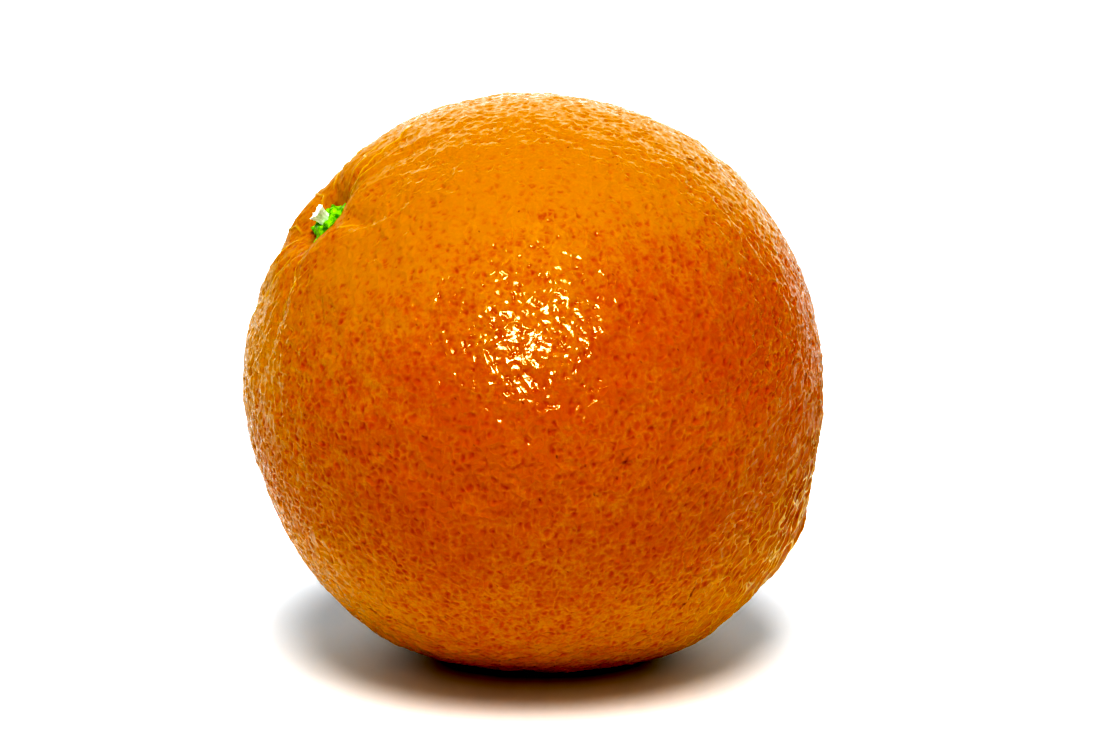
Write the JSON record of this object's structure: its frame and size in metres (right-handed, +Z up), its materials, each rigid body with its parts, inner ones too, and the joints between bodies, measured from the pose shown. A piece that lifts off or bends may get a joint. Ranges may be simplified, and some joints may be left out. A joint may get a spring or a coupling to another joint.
{
  "type": "orange",
  "caption": "Whole fresh orange lying on its side, with the green calyx and pale cut stalk in its stem dimple and a blunt nose at the far end.",
  "frame": {"origin": "on the surface the orange rests on, under the middle of its bounding box", "axes": "+Z up; the stem end points to -X, upwards and a little to -Y (azimuth 200 degrees, elevation 40 degrees); the blossom end points to +X and down"},
  "size_m": [0.0764, 0.0761, 0.0749],
  "materials": {
    "orange_peel": null,
    "green_calyx": null,
    "cut_stalk": "pale, matte, freshly cut stalk with torn fibres"
  },
  "bodies": {
    "root": {"fruit": "orange_peel", "calyx": "green_calyx", "stem_stub": "cut_stalk"}
  },
  "joints": []
}
